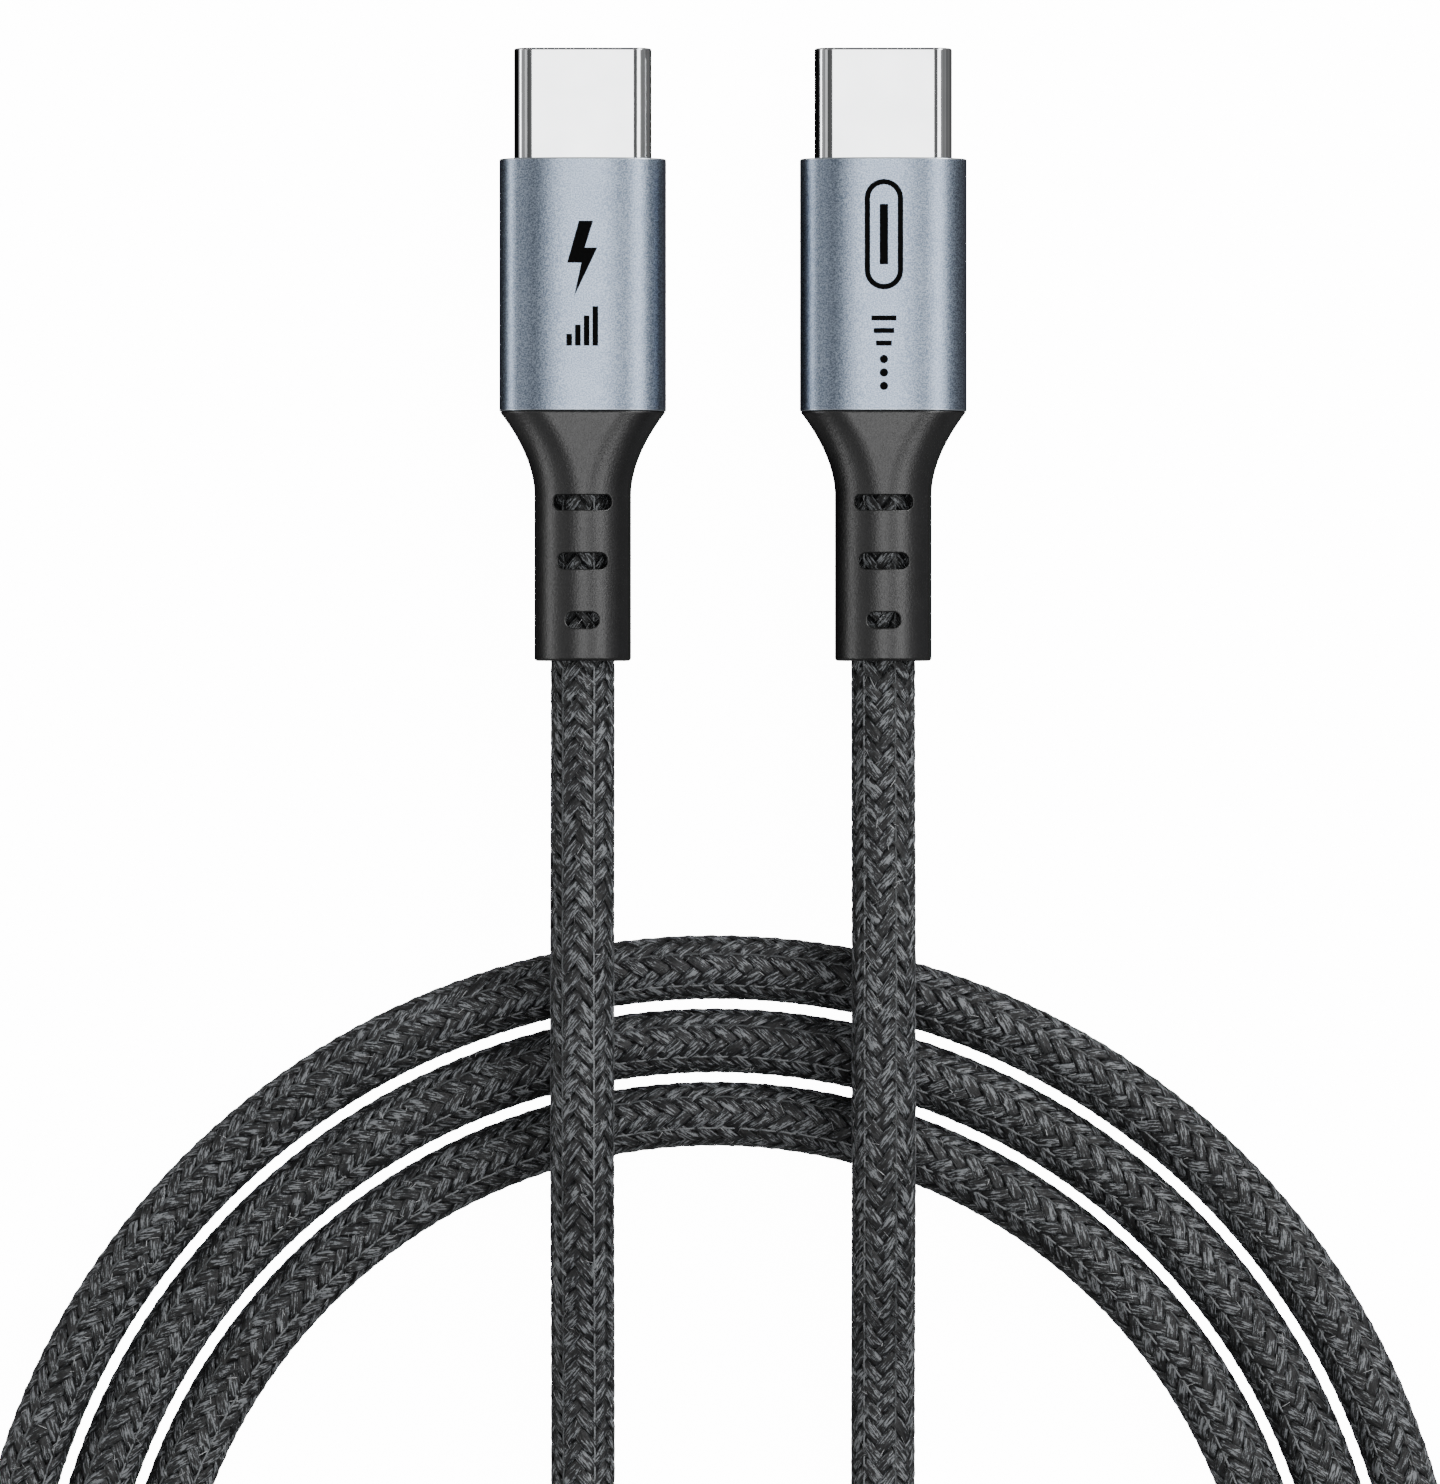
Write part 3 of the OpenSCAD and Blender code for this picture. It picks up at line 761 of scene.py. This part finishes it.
class CABLE_OT_housings(Step, bpy.types.Operator):
    """Builds the aluminium housing of each plug, with an opening for the shell"""

    bl_idname = "cable.housings"
    bl_label = "Housings"

    def execute(self, context):
        settings = context.scene.cable_plug
        aluminium = material(anodised_aluminium, settings)
        wall, edge = settings.housing_wall, settings.housing_edge
        for side in SIDES:
            s = plug_sizes(side)
            size, front, back = s["housing"], s["front"], s["back"]
            cavity = tuple(one - 2 * wall for one in size)
            opening = tuple(one + 2 * settings.fit for one in s["shell"])
            face = tuple(one - 3 * edge for one in size)
            behind = front - settings.front_wall
            stations = [
                (back, *cavity, 0),
                *reversed(rounded(back, size, 0.7 * edge, end=-1)),
                (back + edge, *size, 0),
                (front - 1.3 * edge, *size, 0),
                *rounded(front, size, edge),
                (front, *face, 0),
                # A second ring close to the opening keeps the face's shading flat.
                (front, opening[0] + 0.3 * MM, opening[1] + 0.3 * MM, 0),
                (front, opening[0] + 0.1 * MM, opening[1] + 0.1 * MM, 0),
                (front - 0.05 * MM, *opening, 0),
                (behind, *opening, 0),
                (behind, *cavity, 0),
            ]
            work = sleeve(stations, s["middle"], 128, settings.fullness)
            node = f"{side}_plug_housing"
            finished(work, f"{node}_blasted", aluminium, replaces=[node])
        return {"FINISHED"}


def slot_distance(x, y, slots, width):
    """Distance to the nearest slot's outline, negative inside, and the way out of it."""
    best = np.full(x.shape, 1.0)
    away_x, away_y = np.zeros(x.shape), np.zeros(x.shape)
    for centre, long in slots:
        dx = x - np.clip(x, -(long - width) / 2, (long - width) / 2)
        dy = y - centre
        span = np.maximum(np.hypot(dx, dy), 1e-9)
        nearer = span - width / 2 < best
        best = np.where(nearer, span - width / 2, best)
        away_x = np.where(nearer, dx / span, away_x)
        away_y = np.where(nearer, dy / span, away_y)
    return best, away_x, away_y


class CABLE_OT_strain_reliefs(Step, bpy.types.Operator):
    """Builds the rubber strain relief of each plug, with its flare, flex slots and rounded end"""

    bl_idname = "cable.strain_reliefs"
    bl_label = "Strain reliefs"

    def execute(self, context):
        settings = context.scene.cable_plug
        rubber = material(moulded_rubber, settings)
        bore = context.scene.cable_cord.diameter / 2 + 0.06 * MM
        for side in SIDES:
            s = plug_sizes(side)
            rings = self.cut_slots(self.rings(s, settings, bore), s, settings)
            node = f"{side}_plug_strain_relief"
            finished(skin(rings), f"{node}_moulded", rubber, replaces=[node])
        return {"FINISHED"}

    def rings(self, s, settings, bore):
        """Rings from inside the housing, over the flare and the neck, and into the bore."""
        neck, edge, lip = settings.neck / 2, settings.relief_edge, 0.06 * MM
        back, end = s["back"], s["end"]
        wide, tall = (size / 2 - 0.05 * MM for size in s["housing"])
        inset, root_length, gap = 0.8 * MM, 2 * MM, 0.02 * MM
        root = (wide - inset, tall - inset)
        stations = [(back + root_length, 0, 0), (back + root_length, *root), (back - gap, *root)]
        stations += [(back - gap, wide - lip, tall - lip), (back - lip, wide, tall)]
        for u in np.arange(0.02, 1, 0.016):
            opened = (1 - u) ** settings.flare_power
            spread = (neck + (wide - neck) * opened, neck + (tall - neck) * opened)
            stations.append((back - lip - u * (settings.flare - lip), *spread))
        # Rings this close give the slots' outlines enough points.
        fine = 0.06 * MM
        on_neck = np.arange(back - settings.flare, end + edge, -fine)
        stations += [(y, neck, neck) for y in on_neck]
        for t in np.linspace(0, math.pi / 2, 7):
            r = neck - edge * (1 - math.cos(t))
            stations.append((end + edge * (1 - math.sin(t)), r, r))
        stations += [(end, bore + lip, bore + lip), (end + lip, bore, bore)]
        bore_depth, half = 1.2 * MM, 150
        stations += [(end + bore_depth, bore, bore), (end + bore_depth, 0, 0)]
        degrees = [np.linspace(-90, 90, half), np.linspace(90, 270, half), [-90]]
        turn = np.radians(np.concatenate(degrees))
        sign = np.concatenate([np.ones(half), -np.ones(half), [1]])
        y, half_width, half_height = np.array(stations).T[..., None]
        x = sign * (half_width - half_height) + np.cos(turn) * half_height
        z = np.sin(turn) * half_height
        return np.stack(np.broadcast_arrays(x + s["middle"].x, y, z + s["middle"].z), axis=-1)

    def cut_slots(self, rings, s, settings):
        """Sinks the slots into the top and the underside, with clean outlines."""
        first = s["back"] - settings.first_slot
        slots = [(first - i * settings.slot_pitch, long) for i, long in enumerate(SLOT_LENGTHS)]
        x, y, z = rings[..., 0] - s["middle"].x, rings[..., 1], rings[..., 2] - s["middle"].z
        neck = settings.neck / 2
        on_neck = (np.abs(np.hypot(x, z) - neck) < 0.01 * MM) & (y < s["back"] - settings.flare)
        distance, away_x, away_y = slot_distance(x, y, slots, settings.slot_width)
        # Points this close to a slot's outline move onto it, and those inside it sink.
        snap = on_neck & (np.abs(distance) < 0.035 * MM)
        x = np.where(snap, x - distance * away_x, x)
        y = np.where(snap, y - distance * away_y, y)
        z = np.where(on_neck, np.sign(z) * np.sqrt(np.maximum(neck**2 - x**2, 0)), z)
        sunk = on_neck & (distance < -0.03 * MM) & ~snap
        z = np.where(sunk, np.sign(z) * settings.slot_floor, z)
        return np.stack([x + s["middle"].x, y, z + s["middle"].z], axis=-1)


# ------------ printed marks


def bar(x, y, width, height):
    """Corners of an upright bar about (x, y), in millimetres."""
    w, h = width / 2, height / 2
    return [(x - w, y - h), (x + w, y - h), (x + w, y + h), (x - w, y + h)]


def pill(x, y, width, height, segments=12):
    """An upright stadium about (x, y), in millimetres."""
    r = width / 2
    points = []
    for centre, start in ((y + height / 2 - r, 0), (y - height / 2 + r, 180)):
        for i in range(segments + 1):
            a = math.radians(start + 180 * i / segments)
            points.append((x + r * math.cos(a), centre + r * math.sin(a)))
    return points


# How far a mark's underside is sunk into the housing's slightly crowned top.
PRINT_SINK = 0.1 * MM
BOLT = [(-0.2, 7.9), (0.65, 7.9), (0.15, 6.3), (0.9, 6.3)]
BOLT += [(-0.5, 3.35), (-0.05, 5.4), (-0.9, 5.4)]
RISING_BARS = [bar(0.52 * i - 0.78, 0.8 + 0.275 * i, 0.34, 0.7 + 0.55 * i) for i in range(4)]
DASHES = [bar(0, y, 1.5 - 0.28 * i, 0.3) for i, y in enumerate((2.1, 1.35, 0.6))]
DOTS = [pill(0, y, 0.5, 0.5) for y in (-0.35, -1.15, -1.95)]
# A plug's mouth: an outline with its tongue, from outside to inside.
MOUTH = (pill(0, 7.1, 2.3, 6.6), pill(0, 7.1, 1.65, 5.95))
TONGUE = bar(0, 7.1, 0.5, 3.6)


class CABLE_OT_marks(Step, bpy.types.Operator):
    """Prints a small charging mark on each housing: thin raised ink shapes"""

    bl_idname = "cable.marks"
    bl_label = "Printed marks"

    def execute(self, context):
        ink = material(printed_ink)
        height = context.scene.cable_plug.print_height
        shapes = {
            "left": ([BOLT, *RISING_BARS], []),
            "right": ([TONGUE, *DASHES, *DOTS], [MOUTH]),
        }
        for side, (solids, rims) in shapes.items():
            low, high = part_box(f"{side}_plug_housing")
            middle = Vector(((low.x + high.x) / 2, 0, high.z - PRINT_SINK))
            work = bmesh.new()
            for outline in solids:
                bmesh.ops.edgeloop_fill(work, edges=self.loop(work, outline, middle))
            for outer, inner in rims:
                edges = self.loop(work, outer, middle) + self.loop(work, inner, middle)
                bmesh.ops.bridge_loops(work, edges=edges)
            raised = bmesh.ops.extrude_face_region(work, geom=work.faces[:], use_keep_orig=True)
            top = [v for v in raised["geom"] if isinstance(v, bmesh.types.BMVert)]
            bmesh.ops.translate(work, verts=top, vec=(0, 0, PRINT_SINK + height))
            bmesh.ops.recalc_face_normals(work, faces=work.faces)
            piece = finished(work, f"{side}_plug_printed_mark", ink)
            for face in piece.data.polygons:
                face.use_smooth = False
        return {"FINISHED"}

    def loop(self, work, outline, middle):
        """A closed loop of edges through an outline given in millimetres."""
        corners = [work.verts.new(middle + Vector((x, y, 0)) * MM) for x, y in outline]
        return [work.edges.new(pair) for pair in zip(corners, corners[1:] + corners[:1])]


# ------------ inside the plugs


def plain_finish(tree, dark, light, grain_size, rough, metal=0.0, relief=0.004):
    """A base for the inner parts: a grain moves the colour, gloss and height a little."""
    place = add(tree, "TexCoord", out="Object")
    grain = add(tree, "TexNoise", {"Vector": place, "Scale": 1 / grain_size, "Detail": 3.0})
    gloss = {"Value": grain, "To Min": rough * 0.8, "To Max": rough * 1.2}
    return {
        "Base Color": add(tree, "ValToRGB", {"Fac": grain}, stops=[(0.3, dark), (0.7, light)]),
        "Roughness": add(tree, "MapRange", gloss),
        "Metallic": metal,
        "Normal": add(tree, "Bump", {"Height": grain, "Distance": relief * MM}),
    }


def moulded_insulator(tree):
    """Glass-filled black plastic, satin where the mould was polished."""
    return plain_finish(tree, "0d0d0e", "1a1a1b", 0.15 * MM, 0.45)


def gold_plate(tree):
    """Gold plate over copper alloy: bright, with faint stamping haze."""
    return plain_finish(tree, "d8a848", "f0c868", 0.2 * MM, 0.2, metal=1.0, relief=0.001)


def spring_steel(tree):
    """Cold-rolled spring steel, slightly darker and duller than the shell."""
    return plain_finish(tree, "9a9c9f", "b8babd", 0.12 * MM, 0.28, metal=1.0, relief=0.001)


def circuit_laminate(tree):
    """Glass-epoxy board under a green mask, with its woven cloth just showing."""
    return plain_finish(tree, "14382a", "1f5540", 0.25 * MM, 0.38)


def moulded_ivory(tree):
    """Low-pressure polyamide moulding, ivory and waxy."""
    return plain_finish(tree, "cfc7ae", "e2dbc6", 0.6 * MM, 0.5, relief=0.01)


def insulation(name, dark, light):
    """Extruded wire insulation in the given colour, waxy and smooth."""

    def recipe(tree):
        return plain_finish(tree, dark, light, 0.3 * MM, 0.35)

    recipe.__name__ = name
    return recipe


INSIDE_FINISHES = {
    "insulator": moulded_insulator,
    "contacts_upper": gold_plate,
    "contacts_lower": gold_plate,
    "ground_spring_upper": spring_steel,
    "ground_spring_lower": spring_steel,
    "latch_left": spring_steel,
    "latch_right": spring_steel,
    "paddle_board": circuit_laminate,
    "power_wire": insulation("red_insulation", "8c1414", "b02020"),
    "ground_wire": insulation("black_insulation", "101011", "1c1c1d"),
    "control_wire": insulation("blue_insulation", "14347a", "2450a8"),
    "data_wire_plus": insulation("green_insulation", "125c2a", "1f8040"),
    "data_wire_minus": insulation("white_insulation", "c8c8c4", "e6e6e2"),
    "inner_mould": moulded_ivory,
}


class CABLE_OT_inside(Step, bpy.types.Operator):
    """Gives the parts inside the plugs their finishes. Their shapes are the CAD model's"""

    bl_idname = "cable.inside"
    bl_label = "Inside parts"

    def execute(self, context):
        made = {}
        for part, recipe in INSIDE_FINISHES.items():
            if recipe not in made:
                made[recipe] = material(recipe)
            for side in SIDES:
                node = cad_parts[f"{side}_plug_{part}"]
                node.data.materials.clear()
                node.data.materials.append(made[recipe])
        return {"FINISHED"}


# ------------ stage


# Degrees from the right horizon over the top to the left one and below both, and the tone.
STUDIO_BANDS = [
    (-60, "505050"), (-20, "a8a8a8"), (-2, "909090"), (6, "d0d0d0"), (20, "b0b0b0"),
    (38, "e8e8e8"), (54, "e8e8e8"), (64, "909090"), (78, "a8a8a8"), (90, "e8e8e8"),
    (102, "b8b8b8"), (112, "8c8c8c"), (134, "7a7a7a"), (152, "e4e4e4"), (184, "ffffff"),
    (193, "141414"), (240, "202020"),
]


class CABLE_OT_stage(Step, bpy.types.Operator):
    """Sets up the camera, the pale floor, the soft lights and the surroundings"""

    bl_idname = "cable.stage"
    bl_label = "Stage"

    def execute(self, context):
        settings = context.scene.cable_stage
        self.camera(context, settings)
        self.floor(settings)
        # Each light's place from the middle of the view, its two sizes and its power.
        lights = {
            "overhead_softbox": ((0, 0, 0.9), (0.36, 0.5), settings.overhead),
            "low_left_strip": ((-0.5, 0, 0.06), (0.6, 0.08), settings.low_left),
            "left_softbox": ((-0.44, 0, 0.41), (0.6, 0.15), settings.left),
            "right_softbox": ((0.43, 0, 0.48), (0.6, 0.2), settings.right),
            "raking_light": ((0.42, 0.42, 0.27), (0.2, 0.2), settings.raking),
        }
        middle = Vector((settings.middle_x, settings.middle_y, 0))
        for name, (offset, size, power) in lights.items():
            self.softbox(name, middle + Vector(offset), middle, size, power)
        self.surroundings(context.scene, settings)
        return {"FINISHED"}

    def camera(self, context, settings):
        """A long lens that looks straight down at the plugs and the top of the coil."""
        lens = bpy.data.cameras.new("camera")
        lens.lens = settings.lens
        lens.sensor_width = 36
        away = settings.seen * settings.lens / lens.sensor_width + EXIT_Z
        lens.clip_start, lens.clip_end = 0.01, 10
        camera = placed("camera", lens)
        camera.location = (settings.middle_x, settings.middle_y, away)
        context.scene.camera = camera

    def floor(self, settings):
        work = bmesh.new()
        bmesh.ops.create_grid(work, x_segments=1, y_segments=1, size=3)
        made = bpy.data.materials.new("white_paper_sweep")
        tree = empty_tree(made)
        matte = add(tree, "BsdfDiffuse", {"Color": settings.floor_colour})
        seen = add(tree, "LightPath", out="Is Camera Ray")
        strength = add(tree, "Math", {0: seen, 1: settings.glow}, operation="MULTIPLY")
        glow = add(tree, "Emission", {"Strength": strength})
        add(tree, "OutputMaterial", {"Surface": add(tree, "AddShader", {0: matte, 1: glow})})
        floor = placed("floor", mesh_from(work, "floor", made))
        floor.visible_glossy = False

    def softbox(self, name, place, target, size, power):
        light = bpy.data.lights.new(name, "AREA")
        light.shape = "RECTANGLE"
        light.size, light.size_y = size
        light.energy = power
        box = placed(name, light)
        box.location = place
        box.rotation_euler = (target - place).to_track_quat("-Z", "Y").to_euler()

    def surroundings(self, scene, settings):
        """A studio of soft bands that run along the plugs."""
        world = bpy.data.worlds.new("studio")
        scene.world = world
        tree = empty_tree(world)
        direction = add(tree, "TexCoord", out="Generated")
        way = add(tree, "SeparateXYZ", {"Vector": direction}).node.outputs
        turn = add(tree, "Math", {0: way["X"], 1: way["Z"]}, operation="ARCTAN2")
        part = add(tree, "Math", {0: turn, 1: -0.5 / math.pi, 2: 0.5}, operation="MULTIPLY_ADD")
        stops = [((degrees + 90) / 360, shade) for degrees, shade in STUDIO_BANDS]
        bands = add(tree, "ValToRGB", {"Fac": part}, stops=stops)
        # Towards the bands' ends, along the plugs, they give way to one plain tone.
        along = add(tree, "Math", {0: way["Y"]}, operation="ABSOLUTE")
        ends = add(tree, "MapRange", {"Value": along, "From Min": 0.2, "From Max": 0.6})
        tones = {"Factor": ends, 6: bands, 7: colour("b4b4b4")}
        shade = add(tree, "Mix", tones, out=2, data_type="RGBA")
        glow = add(tree, "Background", {"Color": shade, "Strength": settings.room})
        add(tree, "OutputWorld", {"Surface": glow})


# ------------ the add-on


class CABLE_PT_panel(bpy.types.Panel):
    """Lists the steps that build the cable, with their sizes and colours"""

    bl_idname = "CABLE_PT_panel"
    bl_label = "Charging Cable"
    bl_space_type = "VIEW_3D"
    bl_region_type = "UI"
    bl_category = "Cable"

    def draw(self, context):
        scene = context.scene
        plug_steps = ["shells", "housings", "strain_reliefs", "marks", "inside"]
        groups = [
            (scene.cable_stage, ["stage"]),
            (scene.cable_cord, ["cord"]),
            (scene.cable_plug, plug_steps),
        ]
        for settings, steps in groups:
            box = self.layout.box()
            for name in settings.bl_rna.properties.keys():
                if name not in ("rna_type", "name"):
                    box.prop(settings, name)
            for step in steps:
                box.operator(f"cable.{step}")


CLASSES = (
    CableCordSettings,
    CablePlugSettings,
    CableStageSettings,
    CABLE_OT_stage,
    CABLE_OT_cord,
    CABLE_OT_shells,
    CABLE_OT_housings,
    CABLE_OT_strain_reliefs,
    CABLE_OT_marks,
    CABLE_OT_inside,
    CABLE_PT_panel,
)


def register():
    for one in CLASSES:
        bpy.utils.register_class(one)
    scene, pointer = bpy.types.Scene, bpy.props.PointerProperty
    scene.cable_cord = pointer(type=CableCordSettings)
    scene.cable_plug = pointer(type=CablePlugSettings)
    scene.cable_stage = pointer(type=CableStageSettings)


def unregister():
    del bpy.types.Scene.cable_stage
    del bpy.types.Scene.cable_plug
    del bpy.types.Scene.cable_cord
    for one in reversed(CLASSES):
        bpy.utils.unregister_class(one)


def main():
    register()
    bpy.ops.cable.stage()
    bpy.ops.cable.cord()
    bpy.ops.cable.shells()
    bpy.ops.cable.housings()
    bpy.ops.cable.strain_reliefs()
    bpy.ops.cable.marks()
    bpy.ops.cable.inside()


if __name__ == "__main__":
    main()
